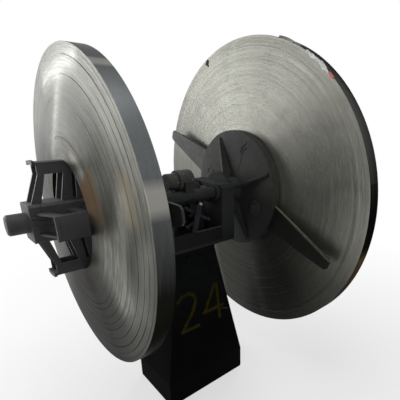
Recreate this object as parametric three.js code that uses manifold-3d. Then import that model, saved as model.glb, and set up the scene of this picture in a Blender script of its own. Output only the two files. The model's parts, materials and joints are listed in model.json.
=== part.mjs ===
// A double-headed strip decoiler loaded with two narrow steel coils.
//
// Millimetres, +Z up, the floor is Z = 0. The shaft line runs along X. Each
// spindle is modelled pointing along +X from the middle of the head, and the
// left one is turned half a turn about Z, so that it points along -X.

import * as THREE from "three";
import { mergeVertices } from "three/addons/utils/BufferGeometryUtils.js";
import Module from "manifold-3d";

const wasm = await Module();
wasm.setup();

// ---------------------------------------------------------------- sizes (mm)

// Fits
const SEAT_GAP = 0.3; // between two pieces that are bolted, welded or laid together
const RUNNING_GAP = 0.6; // between a turning shaft and its bore

// Pedestal
const SHAFT_HEIGHT = 1213;
const SHAFT_ABOVE_PEDESTAL = 313;
const PEDESTAL_SKIRT = 150; // height of the upright part at the foot
const PEDESTAL_TOP_HALF_WIDTH = 137;
const PEDESTAL_FOOT_HALF_WIDTH = 273;
const PEDESTAL_TOP_HALF_DEPTH = 107;
const PEDESTAL_FOOT_HALF_DEPTH = 190;
const PEDESTAL_PLATE = 14;
const FLOOR_PLATE = 16;
const CAP_PLATE = 18;

// Swivel between the pedestal and the head
const SWIVEL_RADIUS = 98;
const SWIVEL_RING = 12;
const SWIVEL_FLANGE = 12;
const SWIVEL_PIN_RADIUS = 40;
const SWIVEL_PIN_BELOW_CAP = 16;

// Head
const HEAD_HALF_LENGTH = 250;
const HEAD_DEPTH = 320;
const HEAD_BASE_PLATE = 20;
const STAND_WIDTH = 90;
const STAND_TOP_ABOVE_SHAFT = 70;
const STAND_CORNER = 18;
const SILL_PLATE = 14;
const FRONT_SILL_HEIGHT = 80;
const REAR_SILL_HEIGHT = 196;
const TIE_RADIUS = 30;
const TIE_FLANGE_RADIUS = 48; // of the flange at each end of a tie tube
const TIE_FLANGE = 24;
const TIE_OFFSET = 100; // distance of each tie tube from the shaft line, in Y
const TIE_ABOVE_SHAFT = 27;

// Bearing housings on the outer sides of the stands
const HOUSING_RADIUS = 88;
const HOUSING_LENGTH = 60;
const HOUSING_FLANGE_RADIUS = 122;
const HOUSING_FLANGE = 20;
const HOUSING_BOLTS = 6;
const HOUSING_BOLT_CIRCLE = 105;
const HOUSING_BOLT_RADIUS = 10;
const HOUSING_BOLT_HEAD = 9;

// Brake
const BRAKE_DISC_RADIUS = 70;
const BRAKE_DISC = 12;
const BRAKE_DISC_AT = 92; // distance of the disc's middle plane from the middle of the head
const BRAKE_HUB_RADIUS = 53;
const BRAKE_HUB = 34;
const CALIPER_WIDTH = 58;
const CALIPER_DEPTH = 60;
const CALIPER_REACH = 13; // how far the jaws reach over the disc
const CALIPER_SLOT_GAP = 2;
const CYLINDER_RADIUS = 58;
const CYLINDER_LENGTH = 92;
const CYLINDER_NECK_RADIUS = 45;
const CYLINDER_NECK = 60;
const CYLINDER_AT = -28; // middle of the wide part, in X
const CYLINDER_CHAMFER = 7;
const CYLINDER_BEHIND_TIE = 44; // distance of its axis behind that of the front tie tube
const CYLINDER_ABOVE_TIE = 78;
const SADDLE_LENGTH = 54;
const SADDLE_WIDTH = 52;
const LEVER_THICKNESS = 12;
const LEVER_WIDTH = 30;
const LEVER_PIN_BELOW_TIE = 64; // from the middle of the tie tubes down to the lever's pin
const LEVER_LEAN = 14; // degrees
const LEVER_PIN_RADIUS = 9;
const LEVER_PIN_STANDS_OUT = 10;

// Spindle shaft and its collars
const SHAFT_RADIUS = 47;
const SHAFT_INNER_END = 6;
const NOSE_RADIUS = 45;
const NOSE_CHAMFER = 7;
const NOSE_LENGTH = 78;
const FRONT_COLLAR_END = 770;
const FRONT_COLLAR = 47;
const REAR_COLLAR = 200; // it reaches from the front collar into the bore of the coil
const COLLAR_HALF_SIZE = 82;
const COLLAR_CORNER = 10;

// Back plate with its hub and gussets
const BACK_PLATE_RADIUS = 360;
const BACK_PLATE = 50;
const BACK_PLATE_BEFORE_ARMS = 20; // how much of its thickness lies on the head's side of the arms
const BACK_PLATE_FACE = 378; // distance of its inner face from the middle of the head
const BACK_HUB_RADIUS = 74;
const BACK_HUB_LENGTH = 66;
const GUSSETS = 4;
const GUSSET_TURN = 45; // degrees between a guide arm and the next gusset
const GUSSET_THICKNESS = 14;
const GUSSET_REACH = 336;
const GUSSET_HEIGHT = 60;
const GUSSET_TIP = 10;

// Guide arms
const ARMS = 2;
const ARM_THICKNESS = 12;
const ARM_ROOT_RADIUS = 250;
const ARM_ROOT_WIDTH = 190;
const ARM_TIP_WIDTH = 74;
const ARM_TIP_CORNER = 14;
const ARM_TURN = 5; // degrees between a mandrel shoe and the next guide arm
const ARM_FLANGE = 8;
const ARM_FLANGE_HEIGHT = 14;
const ARM_FLANGE_SHORT_OF_TIP = 110;
const ARM_FLANGE_CLEAR_OF_PLATE = 6;

// Mandrel shoes
const SHOES = 4;
const BORE_RADIUS = 254;
const PAD_START = 430;
const PAD_END = 720;
const PAD_THICKNESS = 12;
const PAD_WIDTH = 100;
const LIP_HEIGHT = 5;
const LIP_THICKNESS = 11;
const WEB_THICKNESS = 10;
const WEB_SPACING = 88;
const WEB_DEPTH = 42;
const FRONT_LEG_AT = 680; // inner edge of the front leg where it leaves the web
const FRONT_LEG_WIDTH = 26;
const FRONT_FOOT_AT = 712;
const FRONT_FOOT_WIDTH = 38;
const REAR_LEG_AT = 574;
const REAR_LEG_WIDTH = 34;
const REAR_FOOT_AT = 588;
const REAR_FOOT_WIDTH = 46;
const WEB_PLATE_END = 560; // the web is a full plate from its start to here
const WEB_PLATE_FOOT_END = 570;
const WEB_START_AFTER_PAD = 8;
const WEB_STOPS_BEFORE_PAD = 14;

// Coils: the rim's place is that of its end nearest the head, and the dish is
// how far the bore stands out from the rim, away from the head. The guide arms
// behind a coil stop short of its rim. The turns are loose and sag: the middle of
// the rim hangs this far below the middle of the bore.
const COIL_SAG = 13;
const leftCoil = { radius: 728, width: 71, rimAt: 482, dish: 44, armShortOfRim: 60 };
const rightCoil = { radius: 903, width: 77, rimAt: 480, dish: -48, armShortOfRim: 96 };
const COIL_BANDS = 4;
const COIL_STEP = 1.6; // how far one band of turns stands off its neighbours

// Turns of the two spindles at rest, in degrees about their own axes
const LEFT_SPINDLE_TURN = -4;
const RIGHT_SPINDLE_TURN = 17;

// Facets round a circle
const ROUND_COIL = 64;
const ROUND_PLATE = 48;
const ROUND_SHAFT = 28;
const ROUND_BOLT = 8;
const ARC_STEPS = 4;

// ---------------------------------------------------------------- finishes

const metal = (color, roughness) => new THREE.MeshStandardMaterial({ color, roughness, metalness: 1 });
const paint = (color, roughness) => new THREE.MeshStandardMaterial({ color, roughness, metalness: 0 });

const finish = {
  strip: () => metal(0x9a9a97, 0.38),
  pedestal: () => paint(0x27312c, 0.5),
  head: () => paint(0x3a3f40, 0.5),
  spindle: () => paint(0x2b2e31, 0.45),
  plate: () => paint(0x4c504d, 0.5),
  worn: () => metal(0x6d6f70, 0.45),
};

// ---------------------------------------------------------------- tools

const degrees = (angle) => (angle * Math.PI) / 180;

const outline = (corners) => new THREE.Shape(corners.map(([x, y]) => new THREE.Vector2(x, y)));

const roundHole = (x, y, radius) => new THREE.Path().absarc(x, y, radius, 0, 2 * Math.PI, true);

function extruded(shape, thickness, curveSegments = ARC_STEPS) {
  return new THREE.ExtrudeGeometry(shape, { depth: thickness, bevelEnabled: false, curveSegments });
}

/** An outline drawn in X and Z, as a plate from y to y + thickness. */
function plateFacingY(shape, y, thickness, curveSegments) {
  const plate = extruded(shape, thickness, curveSegments);
  return plate.rotateX(Math.PI / 2).translate(0, y + thickness, 0);
}

/** An outline drawn in Y and Z, as a plate from x to x + thickness. */
function plateFacingX(shape, x, thickness, curveSegments) {
  const plate = extruded(shape, thickness, curveSegments);
  return plate.rotateY(Math.PI / 2).rotateX(Math.PI / 2).translate(x, 0, 0);
}

/** A box from its lowest corner to its highest. */
function block(low, high) {
  const size = high.map((value, axis) => value - low[axis]);
  const middle = high.map((value, axis) => (value + low[axis]) / 2);
  return new THREE.BoxGeometry(...size).translate(...middle);
}

/** The geometry with its faces turned over where they point inwards. */
function facingOut(geometry) {
  const { position } = geometry.attributes;
  const { index } = geometry;
  const corner = [0, 1, 2].map(() => new THREE.Vector3());
  let volume = 0;
  for (let face = 0; face < index.count; face += 3) {
    corner.forEach((point, i) => point.fromBufferAttribute(position, index.getX(face + i)));
    volume += corner[0].dot(corner[1].cross(corner[2]));
  }
  if (volume < 0) {
    index.array.reverse();
  }
  return geometry;
}

/** A part turned about the X axis, from [x, radius] corners of its section. */
function turnedAboutX(section, segments) {
  const points = section.map(([x, radius]) => new THREE.Vector2(radius, x));
  return facingOut(new THREE.LatheGeometry(points, segments).rotateZ(-Math.PI / 2));
}

/** A part turned about the Z axis, from [z, radius] corners of its section. */
function turnedAboutZ(section, segments) {
  const points = section.map(([z, radius]) => new THREE.Vector2(radius, z));
  return facingOut(new THREE.LatheGeometry(points, segments).rotateX(Math.PI / 2));
}

/** A ring's section: a box in [position, radius], closed on itself. */
const ringSection = (start, end, inner, outer) => [
  [start, inner], [end, inner], [end, outer], [start, outer], [start, inner],
];

/** A round bar along X, with both ends closed. */
function roundBar(start, end, radius, segments) {
  return turnedAboutX([[start, 0], [start, radius], [end, radius], [end, 0]], segments);
}

/** A closed geometry as a solid that can be joined and cut. */
function solid(geometry) {
  const bare = geometry.clone();
  bare.deleteAttribute("normal");
  bare.deleteAttribute("uv");
  const merged = mergeVertices(bare);
  const vertProperties = Float32Array.from(merged.attributes.position.array);
  const triVerts = Uint32Array.from(merged.index.array);
  return new wasm.Manifold(new wasm.Mesh({ numProp: 3, vertProperties, triVerts }));
}

/** A solid as a geometry again. */
function geometryOf(body) {
  const { vertProperties, triVerts } = body.getMesh();
  const geometry = new THREE.BufferGeometry();
  geometry.setAttribute("position", new THREE.BufferAttribute(vertProperties, 3));
  geometry.setIndex(new THREE.BufferAttribute(triVerts, 1));
  geometry.computeVertexNormals();
  return geometry;
}

function joined(...geometries) {
  return geometryOf(geometries.map(solid).reduce((whole, piece) => whole.add(piece)));
}

/** What two geometries have in common. */
function common(first, second) {
  return geometryOf(solid(first).intersect(solid(second)));
}

function cut(geometry, ...cutters) {
  return geometryOf(cutters.map(solid).reduce((whole, cutter) => whole.subtract(cutter), solid(geometry)));
}

function part(name, geometry, material) {
  const mesh = new THREE.Mesh(geometry, material);
  mesh.name = name;
  return mesh;
}

/** A group turned about X, holding the given pieces. */
function turnedAbout(angle, ...pieces) {
  const group = new THREE.Group();
  group.rotation.x = degrees(angle);
  group.add(...pieces);
  return group;
}

// ---------------------------------------------------------------- pedestal

const pedestalTop = SHAFT_HEIGHT - SHAFT_ABOVE_PEDESTAL;
const capPlateStart = pedestalTop + SEAT_GAP;
const capPlateEnd = capPlateStart + CAP_PLATE;
const swivelRingStart = capPlateEnd + SEAT_GAP;
const swivelRingEnd = swivelRingStart + SWIVEL_RING;
const swivelFlangeStart = swivelRingEnd + SEAT_GAP;
const swivelFlangeEnd = swivelFlangeStart + SWIVEL_FLANGE;
const swivelBore = SWIVEL_PIN_RADIUS + RUNNING_GAP;

/** Half of the pedestal's outline against height, mirrored: an upright skirt, then a taper. */
function pedestalSection(halfTop, halfFoot, start, end) {
  return outline([
    [-halfFoot, start], [halfFoot, start], [halfFoot, PEDESTAL_SKIRT], [halfTop, pedestalTop],
    [halfTop, end], [-halfTop, end], [-halfTop, pedestalTop], [-halfFoot, PEDESTAL_SKIRT],
  ]);
}

/**
 * Four plates between a floor plate and a cap plate. The front and rear plates
 * cover the edges of the sides.
 */
function pedestal() {
  const group = new THREE.Group();
  const reach = PEDESTAL_FOOT_HALF_WIDTH + PEDESTAL_PLATE;
  const wallStart = FLOOR_PLATE + SEAT_GAP;
  const wide = (inset, over) => plateFacingY(pedestalSection(
    PEDESTAL_TOP_HALF_WIDTH - inset, PEDESTAL_FOOT_HALF_WIDTH - inset, wallStart - over, pedestalTop + over,
  ), -reach, 2 * reach);
  const deep = (inset, over) => plateFacingX(pedestalSection(
    PEDESTAL_TOP_HALF_DEPTH - inset, PEDESTAL_FOOT_HALF_DEPTH - inset, wallStart - over, pedestalTop + over,
  ), -reach, 2 * reach);
  const behind = block([-reach, 0, 0], [reach, reach, pedestalTop + PEDESTAL_PLATE]);
  const beside = block([-reach, -reach, 0], [0, reach, pedestalTop + PEDESTAL_PLATE]);

  const cover = cut(common(wide(0, 0), deep(0, 0)), deep(PEDESTAL_PLATE, PEDESTAL_PLATE), behind);
  const sideSection = common(wide(0, 0), deep(PEDESTAL_PLATE + SEAT_GAP, 0));
  const side = cut(sideSection, wide(PEDESTAL_PLATE, PEDESTAL_PLATE), beside);
  for (const [name, plate, turn] of [
    ["pedestal_front_plate", cover, 0], ["pedestal_rear_plate", cover, Math.PI],
    ["pedestal_right_plate", side, 0], ["pedestal_left_plate", side, Math.PI],
  ]) {
    const piece = part(name, plate, finish.pedestal());
    piece.rotation.z = turn;
    group.add(piece);
  }

  const floor = block(
    [-PEDESTAL_FOOT_HALF_WIDTH, -PEDESTAL_FOOT_HALF_DEPTH, 0],
    [PEDESTAL_FOOT_HALF_WIDTH, PEDESTAL_FOOT_HALF_DEPTH, FLOOR_PLATE],
  );
  group.add(part("pedestal_floor_plate", floor, finish.pedestal()));

  const [capX, capY] = [PEDESTAL_TOP_HALF_WIDTH, PEDESTAL_TOP_HALF_DEPTH];
  const capOutline = outline([[-capX, -capY], [capX, -capY], [capX, capY], [-capX, capY]]);
  capOutline.holes.push(roundHole(0, 0, swivelBore));
  const cap = extruded(capOutline, CAP_PLATE, ROUND_SHAFT).translate(0, 0, capPlateStart);
  group.add(part("pedestal_cap_plate", cap, finish.pedestal()));

  const ring = ringSection(swivelRingStart, swivelRingEnd, swivelBore, SWIVEL_RADIUS);
  group.add(part("swivel_ring", turnedAboutZ(ring, ROUND_SHAFT), finish.head()));
  return group;
}

// ---------------------------------------------------------------- head

const headBaseStart = swivelFlangeEnd + SEAT_GAP;
const headBaseEnd = headBaseStart + HEAD_BASE_PLATE;
const headDeckStart = headBaseEnd + SEAT_GAP;
const standInnerFace = HEAD_HALF_LENGTH - STAND_WIDTH;
const tieHeight = SHAFT_HEIGHT + TIE_ABOVE_SHAFT;

function head() {
  const group = new THREE.Group();
  const half = HEAD_DEPTH / 2;

  const flange = turnedAboutZ([
    [capPlateStart - SWIVEL_PIN_BELOW_CAP, 0], [capPlateStart - SWIVEL_PIN_BELOW_CAP, SWIVEL_PIN_RADIUS],
    [swivelFlangeStart, SWIVEL_PIN_RADIUS], [swivelFlangeStart, SWIVEL_RADIUS],
    [swivelFlangeEnd, SWIVEL_RADIUS], [swivelFlangeEnd, 0],
  ], ROUND_SHAFT);
  group.add(part("swivel_flange", flange, finish.head()));

  const base = block([-HEAD_HALF_LENGTH, -half, headBaseStart], [HEAD_HALF_LENGTH, half, headBaseEnd]);
  group.add(part("head_base_plate", base, finish.head()));

  group.add(...["left", "right"].map((side) => {
    const pieces = new THREE.Group();
    pieces.add(bearingStand(`${side}_bearing_stand`), bearingHousing(`${side}_bearing_housing`));
    pieces.rotation.z = side === "left" ? Math.PI : 0;
    return pieces;
  }));

  const sillReach = standInnerFace - SEAT_GAP;
  for (const [name, y, height] of [
    ["head_front_sill", -half, FRONT_SILL_HEIGHT], ["head_rear_sill", half - SILL_PLATE, REAR_SILL_HEIGHT],
  ]) {
    const sill = block([-sillReach, y, headDeckStart], [sillReach, y + SILL_PLATE, headDeckStart + height]);
    group.add(part(name, sill, finish.head()));
  }

  for (const [name, y] of [["front_tie_tube", -TIE_OFFSET], ["rear_tie_tube", TIE_OFFSET]]) {
    const tie = part(name, turnedAboutX([
      [-sillReach, 0], [-sillReach, TIE_FLANGE_RADIUS], [TIE_FLANGE - sillReach, TIE_FLANGE_RADIUS],
      [TIE_FLANGE - sillReach, TIE_RADIUS], [sillReach - TIE_FLANGE, TIE_RADIUS],
      [sillReach - TIE_FLANGE, TIE_FLANGE_RADIUS], [sillReach, TIE_FLANGE_RADIUS], [sillReach, 0],
    ], ROUND_SHAFT), finish.plate());
    tie.position.set(0, y, tieHeight);
    group.add(tie);
  }

  group.add(brakeGear());
  return group;
}

function bearingStand(name) {
  const half = HEAD_DEPTH / 2;
  const top = SHAFT_HEIGHT + STAND_TOP_ABOVE_SHAFT;
  const shape = outline([
    [-half, headDeckStart], [half, headDeckStart], [half, top - STAND_CORNER],
    [half - STAND_CORNER, top], [-half + STAND_CORNER, top], [-half, top - STAND_CORNER],
  ]);
  shape.holes.push(roundHole(0, SHAFT_HEIGHT, SHAFT_RADIUS + RUNNING_GAP));
  return part(name, plateFacingX(shape, standInnerFace, STAND_WIDTH, ROUND_SHAFT), finish.head());
}

function bearingHousing(name) {
  const start = HEAD_HALF_LENGTH + SEAT_GAP;
  const bore = SHAFT_RADIUS + RUNNING_GAP;
  const flangeEnd = start + HOUSING_FLANGE;
  const end = start + HOUSING_LENGTH;
  const barrel = turnedAboutX([
    [start, bore], [start, HOUSING_FLANGE_RADIUS], [flangeEnd, HOUSING_FLANGE_RADIUS],
    [flangeEnd, HOUSING_RADIUS], [end, HOUSING_RADIUS], [end, bore], [start, bore],
  ], ROUND_SHAFT);
  const bolts = [...Array(HOUSING_BOLTS).keys()].map((i) => {
    const angle = (2 * Math.PI * i) / HOUSING_BOLTS;
    const bolt = roundBar(flangeEnd - HOUSING_BOLT_HEAD / 2, flangeEnd + HOUSING_BOLT_HEAD,
      HOUSING_BOLT_RADIUS, ROUND_BOLT);
    return bolt.translate(0, HOUSING_BOLT_CIRCLE * Math.cos(angle), HOUSING_BOLT_CIRCLE * Math.sin(angle));
  });
  const housing = part(name, joined(barrel, ...bolts), finish.head());
  housing.position.z = SHAFT_HEIGHT;
  return housing;
}

/** The brake cylinder on the front tie tube, its lever and the two calipers. */
function brakeGear() {
  const group = new THREE.Group();
  const cylinderHeight = tieHeight + CYLINDER_ABOVE_TIE;
  const cylinderPlace = CYLINDER_BEHIND_TIE - TIE_OFFSET;
  const wideStart = CYLINDER_AT - CYLINDER_LENGTH / 2;
  const wideEnd = CYLINDER_AT + CYLINDER_LENGTH / 2;
  const neckStart = wideStart - CYLINDER_NECK;
  const cylinder = part("brake_cylinder", turnedAboutX([
    [neckStart, 0], [neckStart, CYLINDER_NECK_RADIUS], [wideStart, CYLINDER_NECK_RADIUS],
    [wideStart, CYLINDER_RADIUS], [wideEnd - CYLINDER_CHAMFER, CYLINDER_RADIUS],
    [wideEnd, CYLINDER_RADIUS - CYLINDER_CHAMFER], [wideEnd, 0],
  ], ROUND_SHAFT), finish.head());
  cylinder.position.set(0, cylinderPlace, cylinderHeight);

  const saddleHalf = [SADDLE_LENGTH / 2, SADDLE_WIDTH / 2];
  const saddleBlock = block(
    [CYLINDER_AT - saddleHalf[0], -TIE_OFFSET - saddleHalf[1], tieHeight],
    [CYLINDER_AT + saddleHalf[0], -TIE_OFFSET + saddleHalf[1], cylinderHeight],
  );
  const tieCutter = roundBar(-HEAD_HALF_LENGTH, HEAD_HALF_LENGTH, TIE_RADIUS + SEAT_GAP, ROUND_SHAFT);
  const cylinderSeat = CYLINDER_RADIUS + SEAT_GAP;
  const cylinderCutter = roundBar(-HEAD_HALF_LENGTH, HEAD_HALF_LENGTH, cylinderSeat, ROUND_SHAFT);
  const saddle = cut(
    saddleBlock,
    tieCutter.translate(0, -TIE_OFFSET, tieHeight),
    cylinderCutter.translate(0, cylinderPlace, cylinderHeight),
  );
  group.add(cylinder, part("brake_cylinder_saddle", saddle, finish.head()), brakeLever());

  group.add(...["left", "right"].map((side) => {
    const caliper = brakeCaliper(`${side}_brake_caliper`);
    caliper.rotation.z = side === "left" ? Math.PI : 0;
    return caliper;
  }));
  return group;
}

/** A lever on the inner side of the front sill, up to its pin below the tie tube. */
function brakeLever() {
  const foot = headDeckStart + FRONT_SILL_HEIGHT - LEVER_WIDTH;
  const length = (tieHeight - LEVER_PIN_BELOW_TIE - foot) / Math.cos(degrees(LEVER_LEAN));
  const shape = new THREE.Shape();
  const end = LEVER_WIDTH / 2;
  shape.absarc(0, 0, end, Math.PI, 2 * Math.PI, false);
  shape.absarc(0, length, end, 0, Math.PI, false);
  const start = -HEAD_DEPTH / 2 + SILL_PLATE + SEAT_GAP;
  const bar = plateFacingY(shape, start, LEVER_THICKNESS, ROUND_BOLT);
  const pin = new THREE.CylinderGeometry(LEVER_PIN_RADIUS, LEVER_PIN_RADIUS,
    LEVER_THICKNESS + LEVER_PIN_STANDS_OUT, ROUND_BOLT);
  pin.translate(0, start + (LEVER_THICKNESS + LEVER_PIN_STANDS_OUT) / 2, length);
  const lever = part("brake_lever", joined(bar, pin), finish.worn());
  lever.position.set(CYLINDER_AT, 0, foot);
  lever.rotation.y = degrees(LEVER_LEAN);
  return lever;
}

/** A caliper whose jaws stand on the deck and reach over the foot of the brake disc. */
function brakeCaliper(name) {
  const discFoot = SHAFT_HEIGHT - BRAKE_DISC_RADIUS;
  const body = block(
    [BRAKE_DISC_AT - CALIPER_WIDTH / 2, -CALIPER_DEPTH / 2, headDeckStart],
    [BRAKE_DISC_AT + CALIPER_WIDTH / 2, CALIPER_DEPTH / 2, discFoot + CALIPER_REACH],
  );
  const slotHalf = BRAKE_DISC / 2 + CALIPER_SLOT_GAP;
  const slot = block(
    [BRAKE_DISC_AT - slotHalf, -CALIPER_DEPTH, discFoot - CALIPER_SLOT_GAP],
    [BRAKE_DISC_AT + slotHalf, CALIPER_DEPTH, SHAFT_HEIGHT],
  );
  return part(name, cut(body, slot), finish.head());
}

// ---------------------------------------------------------------- spindles

const shaftSeat = SHAFT_RADIUS + SEAT_GAP;
const backPlateEnd = BACK_PLATE_FACE + BACK_PLATE;
const pocketStart = BACK_PLATE_FACE + BACK_PLATE_BEFORE_ARMS;
const armStart = pocketStart + SEAT_GAP;
const frontCollarStart = FRONT_COLLAR_END - FRONT_COLLAR;
const rearCollarEnd = frontCollarStart - SEAT_GAP;

/** One spindle along +X from the origin. After the turn given, its coil sags straight down. */
function spindle(side, coil, hangTurn) {
  const group = new THREE.Group();
  const armTip = coil.radius - coil.armShortOfRim;
  group.add(
    part(`${side}_shaft`, shaft(), finish.spindle()),
    part(`${side}_brake_disc`, brakeDisc(), finish.worn()),
    part(`${side}_back_plate`, backPlate(armTip), finish.plate()),
    part(`${side}_front_collar`, collar(frontCollarStart, FRONT_COLLAR), finish.spindle()),
    part(`${side}_rear_collar`, collar(rearCollarEnd - REAR_COLLAR, REAR_COLLAR), finish.spindle()),
    turnedAbout(hangTurn, part(`${side}_coil`, wound(coil), finish.strip())),
  );
  for (let i = 0; i < GUSSETS; i += 1) {
    const piece = part(`${side}_gusset_${i + 1}`, gusset(), finish.plate());
    group.add(turnedAbout(ARM_TURN + GUSSET_TURN + (360 * i) / GUSSETS, piece));
  }
  for (let i = 0; i < ARMS; i += 1) {
    const piece = part(`${side}_guide_arm_${i + 1}`, guideArm(armTip), finish.plate());
    group.add(turnedAbout(armAngle(i), piece));
  }
  for (let i = 0; i < SHOES; i += 1) {
    const piece = part(`${side}_mandrel_shoe_${i + 1}`, mandrelShoe(), finish.spindle());
    group.add(turnedAbout((360 * i) / SHOES, piece));
  }
  return group;
}

function shaft() {
  const noseEnd = FRONT_COLLAR_END + NOSE_LENGTH;
  return turnedAboutX([
    [SHAFT_INNER_END, 0], [SHAFT_INNER_END, SHAFT_RADIUS], [FRONT_COLLAR_END, SHAFT_RADIUS],
    [FRONT_COLLAR_END, NOSE_RADIUS], [noseEnd - NOSE_CHAMFER, NOSE_RADIUS],
    [noseEnd, NOSE_RADIUS - NOSE_CHAMFER], [noseEnd, 0],
  ], ROUND_SHAFT);
}

function brakeDisc() {
  const [hubStart, hubEnd] = [BRAKE_DISC_AT - BRAKE_HUB / 2, BRAKE_DISC_AT + BRAKE_HUB / 2];
  const [discStart, discEnd] = [BRAKE_DISC_AT - BRAKE_DISC / 2, BRAKE_DISC_AT + BRAKE_DISC / 2];
  return turnedAboutX([
    [hubStart, shaftSeat], [hubStart, BRAKE_HUB_RADIUS], [discStart, BRAKE_HUB_RADIUS],
    [discStart, BRAKE_DISC_RADIUS], [discEnd, BRAKE_DISC_RADIUS], [discEnd, BRAKE_HUB_RADIUS],
    [hubEnd, BRAKE_HUB_RADIUS], [hubEnd, shaftSeat], [hubStart, shaftSeat],
  ], ROUND_SHAFT);
}

/** A thick plate with a hub, and a pocket in its coil side for the root of each guide arm. */
function backPlate(armTip) {
  const hubStart = BACK_PLATE_FACE - BACK_HUB_LENGTH;
  const plate = turnedAboutX([
    [hubStart, shaftSeat], [hubStart, BACK_HUB_RADIUS], [BACK_PLATE_FACE, BACK_HUB_RADIUS],
    [BACK_PLATE_FACE, BACK_PLATE_RADIUS], [backPlateEnd, BACK_PLATE_RADIUS],
    [backPlateEnd, shaftSeat], [hubStart, shaftSeat],
  ], ROUND_PLATE);
  const pockets = [...Array(ARMS).keys()].map((i) => {
    const pocket = plateFacingX(armOutline(armTip, SEAT_GAP), pocketStart, BACK_PLATE);
    return pocket.rotateX(degrees(armAngle(i)));
  });
  return cut(plate, ...pockets);
}

/** A square collar with cut corners, threaded on the shaft. */
function collar(start, length) {
  const inner = COLLAR_HALF_SIZE - COLLAR_CORNER;
  const shape = outline([
    [inner, -COLLAR_HALF_SIZE], [COLLAR_HALF_SIZE, -inner], [COLLAR_HALF_SIZE, inner],
    [inner, COLLAR_HALF_SIZE], [-inner, COLLAR_HALF_SIZE], [-COLLAR_HALF_SIZE, inner],
    [-COLLAR_HALF_SIZE, -inner], [-inner, -COLLAR_HALF_SIZE],
  ]);
  shape.holes.push(roundHole(0, 0, shaftSeat));
  return plateFacingX(shape, start, length, ROUND_SHAFT);
}

/** A tapered rib from the hub to near the rim of the back plate, standing up along +Y. */
function gusset() {
  const face = BACK_PLATE_FACE - SEAT_GAP;
  const root = BACK_HUB_RADIUS + SEAT_GAP;
  const shape = outline([
    [face, root], [face, GUSSET_REACH], [face - GUSSET_TIP, GUSSET_REACH], [face - GUSSET_HEIGHT, root],
  ]);
  const rib = plateFacingY(shape, -GUSSET_THICKNESS / 2, GUSSET_THICKNESS);
  return rib.rotateX(-Math.PI / 2);
}

const armAngle = (i) => ARM_TURN + (360 * i) / ARMS;

/** A guide arm's tapered outline along +Y, larger by the given margin at its root and sides. */
function armOutline(tipRadius, margin) {
  const [root, tip] = [ARM_ROOT_WIDTH / 2 + margin, ARM_TIP_WIDTH / 2 + margin];
  const start = ARM_ROOT_RADIUS - margin;
  return outline([
    [start, -root], [tipRadius - ARM_TIP_CORNER, -tip], [tipRadius, -tip + ARM_TIP_CORNER],
    [tipRadius, tip - ARM_TIP_CORNER], [tipRadius - ARM_TIP_CORNER, tip], [start, root],
  ]);
}

/** A tapered guide arm along +Y, let into the coil side of the back plate, with a short flange. */
function guideArm(tipRadius) {
  const [root, tip] = [ARM_ROOT_WIDTH / 2, ARM_TIP_WIDTH / 2];
  const bar = plateFacingX(armOutline(tipRadius, 0), armStart, ARM_THICKNESS);

  const slope = (tip - root) / (tipRadius - ARM_TIP_CORNER - ARM_ROOT_RADIUS);
  const edge = (radius) => root + slope * (radius - ARM_ROOT_RADIUS);
  const flangeStart = BACK_PLATE_RADIUS + ARM_FLANGE_CLEAR_OF_PLATE;
  const flangeEnd = tipRadius - ARM_FLANGE_SHORT_OF_TIP;
  const flange = plateFacingX(outline([
    [flangeStart, edge(flangeStart) - ARM_FLANGE], [flangeEnd, edge(flangeEnd) - ARM_FLANGE],
    [flangeEnd, edge(flangeEnd)], [flangeStart, edge(flangeStart)],
  ]), armStart + ARM_THICKNESS / 2, ARM_THICKNESS / 2 + ARM_FLANGE_HEIGHT);
  return joined(bar, flange);
}

/** A segment of a ring between two radii, as an outline about +Y. */
function ringSegment(inner, outer, width) {
  const reach = Math.asin(width / 2 / outer);
  const shape = new THREE.Shape();
  shape.absarc(0, 0, outer, -reach, reach, false);
  shape.absarc(0, 0, inner, reach, -reach, true);
  return shape;
}

/** A mandrel shoe along +Y: a pad with a lip at its nose end, on two webs of two legs and a plate. */
function mandrelShoe() {
  const padOuter = BORE_RADIUS - SEAT_GAP;
  const padInner = padOuter - PAD_THICKNESS;
  const pad = plateFacingX(ringSegment(padInner, padOuter, PAD_WIDTH), PAD_START, PAD_END - PAD_START);
  const lip = plateFacingX(
    ringSegment(padInner, padOuter + LIP_HEIGHT, PAD_WIDTH), PAD_END - LIP_THICKNESS, LIP_THICKNESS,
  );

  const foot = COLLAR_HALF_SIZE + SEAT_GAP;
  const chord = padInner - WEB_DEPTH;
  const webTop = padOuter - PAD_THICKNESS / 2;
  const webEnd = PAD_END - WEB_STOPS_BEFORE_PAD;
  const [frontIn, frontOut] = [FRONT_LEG_AT, FRONT_LEG_AT + FRONT_LEG_WIDTH];
  const [rearIn, rearOut] = [REAR_LEG_AT, REAR_LEG_AT + REAR_LEG_WIDTH];
  const [frontFootIn, frontFootOut] = [FRONT_FOOT_AT, FRONT_FOOT_AT + FRONT_FOOT_WIDTH];
  const [rearFootIn, rearFootOut] = [REAR_FOOT_AT, REAR_FOOT_AT + REAR_FOOT_WIDTH];
  const web = outline([
    [PAD_START + WEB_START_AFTER_PAD, webTop], [PAD_START + WEB_START_AFTER_PAD, foot],
    [WEB_PLATE_FOOT_END, foot], [WEB_PLATE_END, chord],
    [rearIn, chord], [rearFootIn, foot], [rearFootOut, foot], [rearOut, chord],
    [frontIn, chord], [frontFootIn, foot], [frontFootOut, foot],
    [frontOut, chord], [webEnd, padInner], [webEnd, webTop],
  ]);
  const webs = [-1, 1].map((side) => {
    const middle = (side * WEB_SPACING) / 2;
    return plateFacingY(web, middle - WEB_THICKNESS / 2, WEB_THICKNESS).rotateX(-Math.PI / 2);
  });
  return joined(pad, lip, ...webs);
}

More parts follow.
